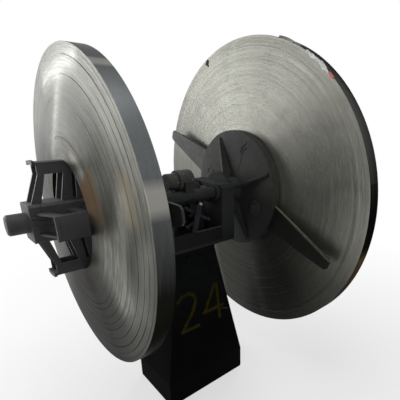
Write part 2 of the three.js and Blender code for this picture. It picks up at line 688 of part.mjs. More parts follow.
/**
 * A coil as one turned solid, whose rings then sag along -Z in proportion to their
 * distance from the bore. Its bands of turns stand off each other by a small step.
 * The flats of its faceted bore lie on the true bore circle, so it clears the round pads.
 */
function wound({ radius, width, rimAt, dish }) {
  const bore = BORE_RADIUS / Math.cos(Math.PI / ROUND_COIL);
  const band = (radius - bore) / COIL_BANDS;
  const sideAt = (r) => rimAt + (dish * (radius - r)) / (radius - bore);
  const near = [];
  for (let i = 0; i < COIL_BANDS; i += 1) {
    const [inner, outer] = [bore + i * band, bore + (i + 1) * band];
    const step = i % 2 === 0 ? 0 : COIL_STEP;
    near.push([sideAt(inner) + step, inner], [sideAt(outer) + step, outer]);
  }
  const far = near.map(([x, r]) => [x + width, r]).reverse();
  const coil = turnedAboutX([...near, ...far, near[0]], ROUND_COIL);
  const { position } = coil.attributes;
  for (let i = 0; i < position.count; i += 1) {
    const [y, z] = [position.getY(i), position.getZ(i)];
    const sag = (COIL_SAG * (Math.hypot(y, z) - bore)) / (radius - bore);
    position.setZ(i, z - sag);
  }
  return coil;
}

// ---------------------------------------------------------------- the machine

const model = new THREE.Group();
model.add(pedestal(), head());

const right = spindle("right", rightCoil, -RIGHT_SPINDLE_TURN);
right.position.z = SHAFT_HEIGHT;
right.rotation.x = degrees(RIGHT_SPINDLE_TURN);

const left = spindle("left", leftCoil, LEFT_SPINDLE_TURN);
left.position.z = SHAFT_HEIGHT;
left.rotation.set(degrees(LEFT_SPINDLE_TURN), 0, Math.PI);

model.add(left, right);

export default model;
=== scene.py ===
# %% [markdown]
# # A double-headed decoiler with its two coils
# A decoiler holds coils of steel strip while a machine pulls the strip off. This
# one has two spindles back to back on a head that swivels, so that one coil can
# be loaded while the other runs. Its solids are fixed already. This script loads
# them, gives the coils their turns, adds the small parts, paints everything and
# sets up a plain studio.

import json
import math

import bpy
import numpy as np
from mathutils import Euler, Matrix


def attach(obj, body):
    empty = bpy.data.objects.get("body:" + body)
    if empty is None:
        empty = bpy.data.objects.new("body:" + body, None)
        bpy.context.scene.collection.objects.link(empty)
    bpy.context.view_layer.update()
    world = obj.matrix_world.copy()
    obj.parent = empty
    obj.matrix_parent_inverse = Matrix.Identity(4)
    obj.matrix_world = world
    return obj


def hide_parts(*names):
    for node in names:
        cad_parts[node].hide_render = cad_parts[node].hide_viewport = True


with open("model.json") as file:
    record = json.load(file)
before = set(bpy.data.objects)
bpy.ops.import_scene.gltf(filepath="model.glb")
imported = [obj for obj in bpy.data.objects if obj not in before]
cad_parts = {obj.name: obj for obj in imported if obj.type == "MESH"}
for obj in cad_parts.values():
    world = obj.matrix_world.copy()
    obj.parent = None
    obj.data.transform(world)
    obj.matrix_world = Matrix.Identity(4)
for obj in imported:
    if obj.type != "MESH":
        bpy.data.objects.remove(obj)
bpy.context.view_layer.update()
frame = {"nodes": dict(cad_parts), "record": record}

# %% [markdown]
# ## The camera
# Someone of middle height looks slightly down at the machine from its front left
# corner. Turning the camera to place the machine in the frame would change its
# perspective, so the lens is shifted instead, a little sideways and up.

# %% Camera
CAMERA_PLACE = (-1.0308, -1.6873, 1.6586)
CAMERA_YAW = math.radians(43.45)  # from +Y towards +X
CAMERA_PITCH = math.radians(-19.08)
CAMERA_ROLL = math.radians(0.74)
FOCAL_PIXELS = 343.82
PICTURE_PIXELS = 400
SENSOR_WIDTH = 36.0  # millimetres
LENS_CENTRE = (254.0, 234.5)  # where the lens axis meets the picture

camera_data = bpy.data.cameras.new("camera")
camera_data.sensor_width = SENSOR_WIDTH
camera_data.lens = FOCAL_PIXELS * SENSOR_WIDTH / PICTURE_PIXELS
camera_data.shift_x = 0.5 - LENS_CENTRE[0] / PICTURE_PIXELS
camera_data.shift_y = LENS_CENTRE[1] / PICTURE_PIXELS - 0.5
camera = bpy.data.objects.new("camera", camera_data)
camera.location = CAMERA_PLACE
level = Euler((math.pi / 2 + CAMERA_PITCH, 0.0, -CAMERA_YAW)).to_matrix()
camera.rotation_euler = (level @ Matrix.Rotation(CAMERA_ROLL, 3, "Z")).to_euler()
bpy.context.collection.objects.link(camera)
bpy.context.scene.camera = camera
print("lens:", round(camera_data.lens, 2), "mm")

# %% [markdown]
# ## Surfaces from arrays
# Every new piece is a surface worked out with numpy. A shape is a grid of points,
# one row for each point of a profile and one column for each step round or along.
# One helper turns such a grid into a mesh. Another measures the enclosed volume,
# and turns the faces round if they point inwards.

# %% Mesh helpers
SHAFT_HEIGHT = 1.213  # metres above the floor


def outward(points, faces):
    """The faces of a closed skin, turned round if need be so that they point outwards.

    The signed volume is the sum of each face's corner dotted with its area vector.
    """
    corners = points[faces]
    area = np.cross(corners[:, 2] - corners[:, 0], corners[:, 3] - corners[:, 1])
    return faces if np.einsum("ij,ij->", corners[:, 0], area) > 0 else faces[:, ::-1]


def mesh_object(name, points, faces, kinds=None, smooth_below=35.0):
    """A mesh from an (n, 3) array of points and an (m, 4) array of corner numbers.

    kinds is each face's material number. Edges bent by more than smooth_below
    degrees stay sharp.
    """
    mesh = bpy.data.meshes.new(name)
    mesh.vertices.add(len(points))
    mesh.vertices.foreach_set("co", points.astype(np.float32).ravel())
    mesh.loops.add(faces.size)
    mesh.loops.foreach_set("vertex_index", faces.astype(np.int32).ravel())
    mesh.polygons.add(len(faces))
    mesh.polygons.foreach_set("loop_start", np.arange(0, faces.size, 4, dtype=np.int32))
    if kinds is not None:
        mesh.polygons.foreach_set("material_index", kinds.astype(np.int32))
    mesh.update(calc_edges=True)
    mesh.validate()
    made = bpy.data.objects.new(name, mesh)
    bpy.context.collection.objects.link(made)
    mesh.shade_smooth()
    mesh.set_sharp_from_angle(angle=math.radians(smooth_below))
    return made


def grid_faces(rows, columns, close_rows, close_columns):
    """Corner numbers of the quads between neighbouring points of a grid.

    Row i and column j are point i * columns + j. A closed direction joins its
    last line to its first.
    """
    i = np.arange(rows if close_rows else rows - 1)[:, None]
    j = np.arange(columns if close_columns else columns - 1)[None, :]
    below, beside = (i + 1) % rows, (j + 1) % columns
    corners = [i * columns + j, i * columns + beside, below * columns + beside, below * columns + j]
    return np.stack(np.broadcast_arrays(*corners), axis=-1).reshape(-1, 4)


print("mesh helpers ready")

# %% [markdown]
# ## Shader maths in Python
# A material is a small formula over the surface. Written as nodes by hand it would
# be long, so one class wraps a socket and gives it the usual operators: `a + b`
# adds a Math node. Colours go through Mix nodes, since Math would turn them grey.

# %% A number on a surface
class Value:
    """A number that changes over a surface: one output socket of a node tree."""

    def __init__(self, paint, socket):
        self.paint, self.socket = paint, socket

    def math(self, operation, *others, clamp=False):
        settings = {"operation": operation, "use_clamp": clamp}
        inputs = dict(enumerate((self, *others)))
        return self.paint.value("ShaderNodeMath", settings, inputs)

    def __add__(self, other):
        return self.math("ADD", other)

    def __sub__(self, other):
        return self.math("SUBTRACT", other)

    def __rsub__(self, other):
        return (self * -1.0).math("ADD", other)

    def __mul__(self, other):
        return self.math("MULTIPLY", other)

    def __truediv__(self, other):
        return self.math("DIVIDE", other)

    def __pow__(self, other):
        return self.math("POWER", other)

    __radd__ = __add__
    __rmul__ = __mul__

    def ramp(self, start, end):
        """0 below start, 1 above end, and a straight slope between them."""
        settings = {"interpolation_type": "LINEAR", "clamp": True}
        inputs = {"Value": self, "From Min": start, "From Max": end}
        return self.paint.value("ShaderNodeMapRange", settings, inputs, "Result")


print("numbers on a surface ready")

# %% A material and its nodes
class Paint:
    """A material, or the surround of the scene, and the one method that makes its nodes."""

    def __init__(self, name, owners=None):
        self.owner = (bpy.data.materials if owners is None else owners).new(name)
        self.owner.use_nodes = True
        self.tree = self.owner.node_tree
        self.tree.nodes.clear()

    def feed(self, socket, given):
        """Links a Value to a socket, or sets a constant on it."""
        if isinstance(given, Value):
            self.tree.links.new(given.socket, socket)
        else:
            socket.default_value = given

    def node(self, kind, settings=None, inputs=None):
        """A node of that kind, with its settings made first and then its sockets."""
        made = self.tree.nodes.new(kind)
        for key, setting in (settings or {}).items():
            setattr(made, key, setting)
        for key, given in (inputs or {}).items():
            self.feed(made.inputs[key], given)
        return made

    def value(self, kind, settings=None, inputs=None, output=0):
        """One output of such a node."""
        return Value(self, self.node(kind, settings, inputs).outputs[output])

    def place(self):
        """The object's own coordinates, as one vector and as x, y and z."""
        vector = self.value("ShaderNodeTexCoord", output="Object")
        apart = self.node("ShaderNodeSeparateXYZ", inputs={0: vector})
        return vector, *(Value(self, socket) for socket in apart.outputs)

    def noise(self, vector, scale, detail=3.0, roughness=0.5):
        """Cloudy values between 0 and 1, about scale clouds to a metre."""
        inputs = {"Vector": vector, "Scale": scale, "Detail": detail, "Roughness": roughness}
        return self.value("ShaderNodeTexNoise", inputs=inputs)

    def vector(self, x, y, z):
        """One vector from three numbers."""
        return self.value("ShaderNodeCombineXYZ", inputs={0: x, 1: y, 2: z})

    def mix(self, share, first, second):
        """The first colour where share is 0 and the second where it is 1."""
        inputs = {"Factor": share, "A": self.colour(first), "B": self.colour(second)}
        made = self.node("ShaderNodeMix", {"data_type": "RGBA"})
        for key, given in inputs.items():
            self.feed(next(s for s in made.inputs if s.name == key and s.enabled), given)
        return Value(self, next(s for s in made.outputs if s.enabled))

    @staticmethod
    def colour(given):
        """A colour as a socket takes it, with its fourth number."""
        return given if isinstance(given, Value) else (*given, 1.0)

    def bump(self, height, distance, strength):
        """Normals that tilt as if the surface rose by the height times the distance."""
        inputs = {"Height": height, "Distance": distance, "Strength": strength}
        return self.value("ShaderNodeBump", inputs=inputs)

    def finish(self, base, roughness, metallic=0.0, normal=None, **constants):
        """The Principled shader, with constants set on its own sockets."""
        inputs = {"Base Color": self.colour(base), "Roughness": roughness, "Metallic": metallic}
        if normal is not None:
            inputs["Normal"] = normal
        inputs.update(constants)
        shader = self.value("ShaderNodeBsdfPrincipled", inputs=inputs)
        self.node("ShaderNodeOutputMaterial", inputs={"Surface": shader})
        return self.owner


def darker(colour, share):
    """The same colour at a share of its brightness."""
    return tuple(share * c for c in colour)


print("material helpers ready")

# %% [markdown]
# ## The two coils
# A coil is one long strip wound on itself, and its sides show the edges of all its
# turns. While it was wound the strip wandered a little, so some turns stand out and
# others lie back, and the inner turns have slipped sideways as one shallow cone.
# Here and there a slack turn leaves a narrow dark gap. Every turn by itself would
# take millions of faces, and a plain ring would look like a wheel. A profile across
# both sides, with one step for every few turns and four at each gap, is swept round
# the shaft line instead, and gives real edges for the light to catch.

# %% Sizes of the coils
BORE_RADIUS = 0.254
ROUND_STEPS = 320  # steps round a coil
SIDE_STEPS = 148  # even profile steps across one side
EDGE_INSET = 0.0012  # how far in from the sides the rim and the bore start
RIM_CROWN = 0.0006  # how far the rim bulges past the outermost turn
# heights of the relief that runs over many turns, over a few and over one, and its limit
SLOW_RELIEF, MIDDLE_RELIEF, SINGLE_RELIEF, MOST_RELIEF = 0.00026, 0.00011, 0.00007, 0.0015
WANDERS = (0.00014, 0.00007)  # how far a turn wanders sideways once and twice round

COILS = {
    # rim_at: how far the rim's near side lies from the middle of the machine
    # dish: how much further out the bore lies than the rim
    # sag: how far the middle of the rim hangs below the middle of the bore
    "left": {"radius": 0.719, "width": 0.071, "rim_at": 0.482, "dish": 0.044, "sag": 0.005,
             "way": -1, "seed": 5},
    "right": {"radius": 0.903, "width": 0.077, "rim_at": 0.480, "dish": -0.048, "sag": 0.022,
              "way": 1, "seed": 11},
}
GAPS = {
    # (radius, half its width, depth) of each gap between slack turns
    "left": [(0.602, 0.0018, 0.004), (0.643, 0.0015, 0.003), (0.674, 0.0020, 0.004),
             (0.704, 0.0012, 0.002), (0.560, 0.0012, 0.002), (0.531, 0.0010, 0.0015),
             (0.498, 0.0011, 0.002), (0.455, 0.0012, 0.002), (0.428, 0.0011, 0.002),
             (0.350, 0.0016, 0.003)],
    "right": [(0.430, 0.0009, 0.0012), (0.526, 0.0011, 0.0015), (0.554, 0.0009, 0.0012),
              (0.612, 0.0010, 0.0014), (0.680, 0.0010, 0.0014), (0.725, 0.0010, 0.0014),
              (0.803, 0.0009, 0.0012), (0.845, 0.0011, 0.0015)],
}
OPEN_AT = {
    # the angle round the shaft at which most gaps lie open, and a level and a swing
    "left": (math.radians(184), -0.18, 1.15),
    "right": (math.radians(285), -0.05, 0.95),
}
MIDDLES_SPREAD = 0.35  # radians by which the gaps' own middle angles scatter
print("gaps:", {side: len(gaps) for side, gaps in GAPS.items()})

# %% The profile across a side
def wandering(count, reach, random):
    """Random heights for count turns, smoothed over reach of them to either side."""
    steps = random.normal(size=count + 2 * reach)
    window = np.hanning(2 * reach + 1)
    smooth = np.convolve(steps, window / np.sqrt((window**2).sum()), mode="same")
    return smooth[reach:-reach]


def side_profile(radius, gaps, random):
    """The radii across a side, how far each turn stands out, and its share in each gap.

    The radii are even steps from the bore to the rim and four more at every gap.
    """
    even = np.linspace(BORE_RADIUS, radius, SIDE_STEPS)
    middles, halves, depths = np.array(gaps).T
    edges = middles[:, None] + halves[:, None] * np.array([-1.0, -0.4, 0.4, 1.0])
    r = np.unique(np.concatenate([even, edges.ravel()]))
    slow = wandering(SIDE_STEPS, 12, random) * SLOW_RELIEF
    middle = wandering(SIDE_STEPS, 3, random) * MIDDLE_RELIEF
    single = random.normal(size=SIDE_STEPS) * SINGLE_RELIEF
    out = np.interp(r, even, np.clip(slow + middle + single, -MOST_RELIEF, MOST_RELIEF))
    near = np.clip((1.0 - np.abs(r[:, None] - middles) / halves) / 0.6, 0.0, 1.0)
    return r, out, near, depths


def opening(side, angle, count, random):
    """How far each gap is open at each angle: a slack turn lies loose over part of its way.

    A gap is widest at its own middle angle, and falls off as a cosine about it.
    """
    towards, base, swing = OPEN_AT[side]
    middles = towards + random.normal(0.0, MIDDLES_SPREAD, count)
    return np.clip(base + swing * np.cos(angle[None, :] - middles[:, None]), 0.0, 1.0)


print("steps across a side:", {side: SIDE_STEPS + 4 * len(gaps) for side, gaps in GAPS.items()})

# %% Wind the coils
def wound_coil(side, radius, width, rim_at, dish, sag, way, seed):
    """The profile of a wound coil, turned about the shaft line.

    A point at radius r lies at rim_at + dish * (radius - r) / (radius - bore) from
    the middle of the machine, plus its turn's relief, and the far side is one strip
    width further. Every angle adds a slow wander of its own to each turn. The turns
    sag: a ring's middle lies sag * (r - bore) / (radius - bore) below the shaft line.
    """
    random = np.random.default_rng(seed)
    angle = np.linspace(0.0, 2.0 * math.pi, ROUND_STEPS, endpoint=False)
    r, near_relief, near_gap, depths = side_profile(radius, GAPS[side], random)
    _, far_relief, far_gap, _ = side_profile(radius, GAPS[side], random)
    open_share = opening(side, angle, len(depths), random)
    steps, plain = len(r), np.zeros((2, ROUND_STEPS))
    cone = rim_at + dish * (radius - r) / (radius - BORE_RADIUS)
    near = (cone + near_relief)[:, None] + (near_gap * depths) @ open_share
    far = (cone + width - far_relief)[:, None] - (far_gap * depths) @ open_share
    x = np.concatenate([near, near[-1:] + EDGE_INSET, far[-1:] - EDGE_INSET,
                        far[::-1], far[:1] - EDGE_INSET, near[:1] + EDGE_INSET])
    gaps = np.concatenate([near_gap @ open_share, plain, (far_gap @ open_share)[::-1], plain])
    rr = np.concatenate([r, [radius + RIM_CROWN] * 2, r[::-1], [BORE_RADIUS] * 2])[:, None]
    kinds = np.zeros(len(rr), int)  # 0 on the sides, 1 on the rim and in the bore
    kinds[steps - 1:steps + 2] = 1
    kinds[2 * steps + 1:] = 1
    walk = np.cumsum(random.normal(0.0, 0.9, 60))
    phase = np.interp(rr, np.linspace(BORE_RADIUS, radius, 60), walk)
    once, twice = WANDERS
    wander = once * np.sin(angle + phase) + twice * np.sin(2 * angle + 3 * phase)
    wander[[steps, steps + 1, -1, -2]] = 0.0
    below = sag * (rr - BORE_RADIUS) / (radius - BORE_RADIUS)
    points = np.stack([
        way * (x + wander),
        rr * np.cos(angle),
        SHAFT_HEIGHT - below + rr * np.sin(angle),
    ], axis=-1)
    points = points.reshape(-1, 3)
    faces = outward(points, grid_faces(len(rr), ROUND_STEPS, True, True))
    made = mesh_object(f"{side}_coil_turns", points, faces,
                       np.repeat(kinds, ROUND_STEPS), smooth_below=25.0)
    for attribute, values in (("ring_radius", rr + 0.0 * angle), ("gap", gaps)):
        layer = made.data.attributes.new(attribute, "FLOAT", "POINT")
        layer.data.foreach_set("value", values.astype(np.float32).ravel())
    return made


coils = {}
for side, sizes in COILS.items():
    coils[side] = wound_coil(side, **sizes)
    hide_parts(f"{side}_coil")
    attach(coils[side], f"{side}_spindle")
    print(coils[side].name, len(coils[side].data.polygons) * 2, "triangles")

# %% [markdown]
# ## Bare steel
# The sides of a coil are hundreds of slit edges, so they shine in streaks across
# the turns, and rust settles in bands. The rim is the rolled face of the strip
# itself, smoother and bluer. Both patterns follow the radius of the turn, which is
# stored on the points, and the angle round the shaft line. The lower part of each
# coil is painted darker, as painted shade, and so are the narrow gaps. Broad bright
# streaks are painted highlights and a few dull lines are painted shade; each is the
# set of points near a line, so the shader measures that distance.

# %% Places on a coil
def polar(paint):
    """The radius of the turn that a point lies on, the angle round the shaft, and x, y, up."""
    _, x, y, z = paint.place()
    up = z - SHAFT_HEIGHT
    ring = paint.value("ShaderNodeAttribute", {"attribute_name": "ring_radius"}, output="Fac")
    return ring, up.math("ARCTAN2", y), x, y, up


def spot(y, up, at, reach):
    """1 at a place (y, z) on a side, falling to 0 at the given reach from it."""
    aside, above = y - at[0], up - (at[1] - SHAFT_HEIGHT)
    return 1.0 - ((aside * aside + above * above) ** 0.5).ramp(reach * 0.5, reach)


def nearness(x, z, lines):
    """The distance in metres, in one plane, from (x, z) to the nearest of some broken lines."""
    nearest = None
    for corners in lines:
        for (ax, az), (bx, bz) in zip(corners, corners[1:]):
            across, rise = bx - ax, bz - az
            length = across * across + rise * rise
            share = (((x - ax) * across + (z - az) * rise) / length).math("ADD", 0.0, clamp=True)
            aside, above = x - ax - share * across, z - az - share * rise
            gone = (aside * aside + above * above) ** 0.5
            nearest = gone if nearest is None else nearest.math("MINIMUM", gone)
    return nearest


print("places on a coil ready")

# %% Clean edges
# the colour of the painted sheen
PAINTED_SHEEN = (0.40, 0.401, 0.355)
DARK_SHARE = 0.35  # brightness of dark rings, as a share of the inner turns'


def clean_edges(paint, place, fine, bands, inner, outer, change_over, lit_side, lines):
    """Bare steel with a painted sheen where it faces -Y, and dark in rings and smears."""
    r, turn, _, y, up = place
    smears = paint.noise(paint.vector(r * 2.0, turn * 1.6, 0.0), 2.6, 3.0, 0.55)
    # painted sheen: lighter where the side faces -Y, from the middle height up and less near the
    # top
    sheen_share = (y * -1.0 / r).ramp(0.0, 0.75) * (up / r).ramp(-0.50, 0.0)
    sheen_share = sheen_share * (1.0 - (up / r).ramp(0.45, 0.95) * 0.75)
    dark = darker(inner, DARK_SHARE)
    steel = paint.mix(r.ramp(*change_over), inner, outer)
    steel = paint.mix(sheen_share * lit_side, steel, PAINTED_SHEEN)
    steel = paint.mix(bands.ramp(0.30, 0.70) * lines, steel, dark)
    steel = paint.mix(smears.ramp(0.50, 0.80) * 0.30, steel, dark)
    return paint.mix((1.0 - fine.ramp(0.25, 0.45)) * (lines + 0.1), steel, dark)


print("clean edges are defined")

# %% Painted highlights and painted shade
# the colour of the painted highlights
STREAK_HIGHLIGHT = (0.34, 0.341, 0.31)


def close_to(y, up, line, near, far):
    """1 within near metres of a line of (y, z) places on a side, falling to 0 at far."""
    return 1.0 - nearness(y, up + SHAFT_HEIGHT, [line]).ramp(near, far)


def with_painted_light(paint, steel, place, fine, bands, dark, painted_highlights, painted_shades):
    """Steel with painted shade along some lines, and painted highlights along others that break up
    into rings.
    """
    *_, y, up = place
    # painted shade: darker along the given lines
    for line, near, far, share in painted_shades:
        steel = paint.mix(close_to(y, up, line, near, far) * share, steel, dark)
    rings = 0.3 + fine.ramp(0.45, 0.65) * 0.6 + bands.ramp(0.46, 0.60) * 0.4
    # painted highlights: lighter along the given lines, broken up into rings
    for line, near, far, share in painted_highlights:
        highlight_share = close_to(y, up, line, near, far)
        steel = paint.mix(highlight_share * highlight_share * rings * share, steel, STREAK_HIGHLIGHT)
    return steel


print("streaks and shades are defined")

# %% Rust and stain
RUST = (0.125, 0.082, 0.050)
OCHRE_STAIN = (0.205, 0.172, 0.118)
STAIN_RADIUS = 0.60  # of the stained band of turns


def rust_share(place, patches, bore_rust, spots):
    """How rusty the edges are: in one sector at the bore, in patches and in spots."""
    r, turn, _, y, up = place
    reach, start = bore_rust
    near_bore = (BORE_RADIUS + reach - r).ramp(0.0, 0.04)
    sector = turn.math("ABSOLUTE").ramp(start, start + 0.16) * up.ramp(0.0, 0.09)
    rust = near_bore * (sector * 1.1 + patches.ramp(0.50, 0.68) * 0.2)
    for at, size in spots:
        rust = rust + spot(y, up, at, size) * patches.ramp(0.1, 0.5)
    return rust.math("MINIMUM", 1.0)


def stain_share(place):
    """How stained the edges are: one band of turns, over a short part of its way round."""
    r, turn, _, _, up = place
    band = 1.0 - (r - STAIN_RADIUS).math("ABSOLUTE").ramp(0.035, 0.05)
    return turn.math("ABSOLUTE").ramp(2.66, 2.76) * up.ramp(0.05, 0.11) * band


print("rust and stain are defined")

# %% Edges of the turns
# the colour of the painted shade in the gaps
GAP_SHADE = (0.010, 0.010, 0.009)
RING_SCALE = 620.0  # of the fine rings, in clouds to a metre of radius
BAND_SCALE = 52.0
ROUND_STRETCH = 0.010  # makes the noise of the rings long round the coil


def turn_edges(side, inner, outer, change_over, bore_rust, painted_low_shade, lit_side, glancing, metal, lines,
               dulled, stained=False, painted_highlights=(), painted_shades=(), spots=()):
    """The slit edges of the turns.

    The steel changes from the inner to the outer colour over the two radii of
    change_over. bore_rust is how far rust reaches from the bore and the angle it starts at.
    The painted shade on the lower part of the coil is given as the heights, as shares
    of the radius, at which it is deepest and gone, and its depth. lit_side is how
    much a painted sheen lightens the side that faces -Y. glancing is what the steel
    still mirrors at a flat angle, where slit edges shade each other. metal is how
    much it mirrors, and dulled how much of that it loses in the painted shade of the
    lower part. lines is the depth of the fine rings. Each bright line is a painted
    highlight and each dull one a painted shade: a line of (y, z) places, the
    distances at which it is full and gone, and its strength. A spot is a rusty place
    and its reach.
    """
    paint = Paint(f"{side}_turn_edges")
    place = r, turn, x, y, up = polar(paint)
    gap = paint.value("ShaderNodeAttribute", {"attribute_name": "gap"}, output="Fac")
    swept = paint.vector(r, turn * ROUND_STRETCH, 0.0)
    fine = paint.noise(swept, RING_SCALE, 3.0, 0.6)
    bands = paint.noise(swept, BAND_SCALE, 3.0, 0.6)
    patches = paint.noise(paint.vector(x, y, up), 3.2, 4.0, 0.6)
    steel = clean_edges(paint, place, fine, bands, inner, outer, change_over, lit_side, lines)
    steel = with_painted_light(paint, steel, place, fine, bands, darker(inner, DARK_SHARE), painted_highlights, painted_shades)
    # painted shade: the lower part of the coil darkens and mirrors less
    thick, gone, share = painted_low_shade
    low_shade_share = (1.0 - (up / r).ramp(thick, gone)) * share
    steel = paint.mix(low_shade_share, steel, darker(inner, 0.14))
    rust = rust_share(place, patches, bore_rust, spots)
    base = paint.mix(rust * 0.75, steel, RUST)
    if stained:
        stain = stain_share(place)
        base = paint.mix(stain * 0.45, base, OCHRE_STAIN)
        rust = rust + stain * 0.5
    # painted shade in the gaps between slack turns
    base = paint.mix(gap.math("MINIMUM", 1.0) * 0.7, base, GAP_SHADE)
    normal = paint.bump(fine + bands * 0.30, 0.0011, 0.8)
    rough = 0.27 + rust * 0.35 + bands * 0.10 + gap * 0.3
    return paint.finish(base, rough, metal - rust * 0.5 - low_shade_share * dulled, normal,
                        **{"Specular Tint": (*[glancing] * 3, 1.0), "Specular IOR Level": 0.0})


print("the finish of the edges is defined")

# %% Face of the outermost strip
# the colour of the painted reflections across the strip face
PAINTED_REFLECTION = (0.38, 0.37, 0.33)


def strip_face(side, light, dark, lowest, highest, glancing, bands=(), spots=()):
    """The face of the outermost strip: light above highest, dark below lowest.

    The lighter top and darker bottom are painted light and painted shade. A band is a
    painted reflection right across the strip: its angle round the shaft, half its
    width in radians and its strength. A spot is a stained place, its reach and colour.
    """
    paint = Paint(f"{side}_strip_face")
    r, turn, x, y, up = polar(paint)
    along = paint.noise(paint.vector(turn, x * 30.0, r), 2.2, 4.0, 0.6)
    grain = paint.noise(paint.vector(turn * 8.0, x * 160.0, r), 4.0, 3.0, 0.6)
    # painted light and shade: lighter towards the top of the rim, darker towards the bottom
    high = (up + along * 0.16 - 0.08).ramp(lowest, highest)
    base = paint.mix(high, dark, light)
    base = paint.mix(grain.ramp(0.45, 0.75) * 0.3, base, darker(dark, 0.4))
    # painted reflections: bright bands across the strip
    for angle, half, share in bands:
        shine = 1.0 - (turn - angle).math("ABSOLUTE").ramp(half * 0.4, half)
        base = paint.mix(shine * share, base, PAINTED_REFLECTION)
    for at, reach, colour in spots:
        base = paint.mix(spot(y, up, at, reach) * along.ramp(0.2, 0.5), base, colour)
    normal = paint.bump(grain, 0.0006, 0.5)
    return paint.finish(base, 0.28 + along * 0.15, 0.95, normal,
                        **{"Specular Tint": (*[glancing] * 3, 1.0), "Specular IOR Level": 0.1})


print("the finish of the strip's face is defined")

# %% Give the coils their steel
# painted shade on each coil's lower part, painted highlights and shade along lines, painted
# reflections on the left strip face, and a painted sheen on the right coil
coils["left"].data.materials.append(turn_edges(
    "left", inner=(0.052, 0.0522, 0.046), outer=(0.120, 0.1202, 0.107), change_over=(0.50, 0.68),
    bore_rust=(0.145, 2.36), painted_low_shade=(-0.93, -0.60, 0.92), lit_side=0.0, glancing=0.64,
    metal=0.96, lines=0.45, dulled=0.45, stained=True,
    # painted highlights along seven lines, and painted shade along one
    painted_highlights=[([(-0.019, 1.790), (0.136, 1.480)], 0.004, 0.085, 0.55),
             ([(0.017, 0.945), (-0.121, 0.739)], 0.002, 0.030, 0.80),
             ([(-0.38, 1.12), (-0.46, 0.96)], 0.050, 0.190, 0.80),
             ([(-0.55, 1.38), (-0.47, 1.12)], 0.020, 0.095, 0.50),
             ([(0.20, 1.80), (-0.20, 1.86)], 0.010, 0.100, 0.80),
             ([(-0.66, 1.22), (-0.60, 0.95)], 0.010, 0.100, 0.32),
             ([(-0.125, 1.490), (-0.170, 1.467), (-0.228, 1.425)], 0.010, 0.034, 0.32)],
    painted_shades=[([(-0.17, 1.66), (-0.34, 1.54)], 0.040, 0.140, 0.55)]))
coils["left"].data.materials.append(strip_face(
    "left", light=(0.104, 0.110, 0.113), dark=(0.0085, 0.0090, 0.0070),
    lowest=-0.16, highest=0.30, glancing=0.45,
    # two painted reflections across the strip face
    bands=[(2.10, 0.05, 0.45), (2.88, 0.10, 0.50)]))
# lit_side sets the painted sheen on the right coil's -Y side
coils["right"].data.materials.append(turn_edges(
    "right", inner=(0.150, 0.1505, 0.133), outer=(0.145, 0.1455, 0.128), change_over=(0.40, 0.80),
    bore_rust=(0.03, 2.45), painted_low_shade=(-0.80, -0.15, 0.82), lit_side=0.85, glancing=1.0,
    metal=0.86, lines=0.24, dulled=0.28,
    # painted highlights along two lines
    painted_highlights=[([(-0.115, 0.698), (-0.204, 0.397)], 0.010, 0.075, 0.75),
             ([(0.312, 0.700), (0.225, 0.380)], 0.010, 0.045, 1.00)],
    spots=[((0.386, 1.987), 0.020)]))
coils["right"].data.materials.append(strip_face(
    "right", light=(0.130, 0.131, 0.126), dark=(0.008, 0.008, 0.0075),
    lowest=-0.05, highest=0.95, glancing=0.12,
    spots=[((-0.86, 0.87), 0.16, (0.16, 0.125, 0.075))]))
print("steel finishes:", [m.name for coil in coils.values() for m in coil.data.materials])

# %% [markdown]
# ## Paint
# The machine is painted in a dark green that has gone nearly black with oil and
# handling. The spindles are darker still. Where hands, chains and coils rub, the
# paint is worn to a polish or gone. The pedestal, the head and the back plates are
# painted darker towards the bottom, as painted shade, and the front sill has a
# painted highlight along its top edge. A tiny bump gives it the unevenness of a
# brush. One function makes every paint, since they differ only in colour, wear and
# these painted marks.

# %% Worn paint
def worn_paint(name, colour, dusty, bare, wear=0.70, gloss=0.5, shine=0.2, rough_cast=0.0,
               marks=None):
    """Brushed paint: dust in broad clouds, and chips down to dull metal.

    Chips show where a noise passes wear. gloss is the roughness to start from, shine
    the strength of the mirror, and rough_cast deepens the bump. marks is a function
    that gives a share and a colour to lay over the paint.
    """
    paint = Paint(name)
    vector, x, y, z = paint.place()
    clouds = paint.noise(vector, 5.0, 4.0, 0.6)
    grime = paint.noise(vector, 38.0, 4.0, 0.65)
    chips = paint.noise(vector, 85.0, 5.0, 0.62)
    base = paint.mix(clouds.ramp(0.40, 0.75) * 0.8, colour, dusty)
    base = paint.mix(grime.ramp(0.52, 0.80) * 0.5, base, darker(colour, 0.35))
    worn = chips.ramp(wear, wear + 0.04)
    base = paint.mix(worn, base, bare)
    if marks is not None:
        share, mark_colour = marks(paint, x, y, z, grime)
        base = paint.mix(share, base, mark_colour)
    height = grime * (0.5 + rough_cast) + chips * 0.35 - worn * 0.4
    rough = gloss - clouds * 0.12 + grime * 0.22
    normal = paint.bump(height, 0.0015 + 0.002 * rough_cast, 0.6)
    return paint.finish(base, rough, worn * 0.5, normal, **{"Specular IOR Level": shine})


def painted_shade_below(top, bottom, colour, most=0.85):
    """Paint that darkens towards the bottom between two heights: painted shade."""
    def marks(paint, x, y, z, grime):
        return (1.0 - (z + grime * 0.06).ramp(bottom, top)) * most, colour
    return marks


def wear_and_highlight_along(line, beside, colour):
    """Paint worn down along one edge, a line of (x, z) places, or (y, z) if beside is "y"; on the
    sill this lighter edge is a painted highlight.
    """
    def marks(paint, x, y, z, grime):
        edge = nearness({"x": x, "y": y}[beside], z, [line])
        return (1.0 - (edge + grime * 0.008).ramp(0.006, 0.013)) * (1.25 - grime), colour
    return marks


print("paint is defined")

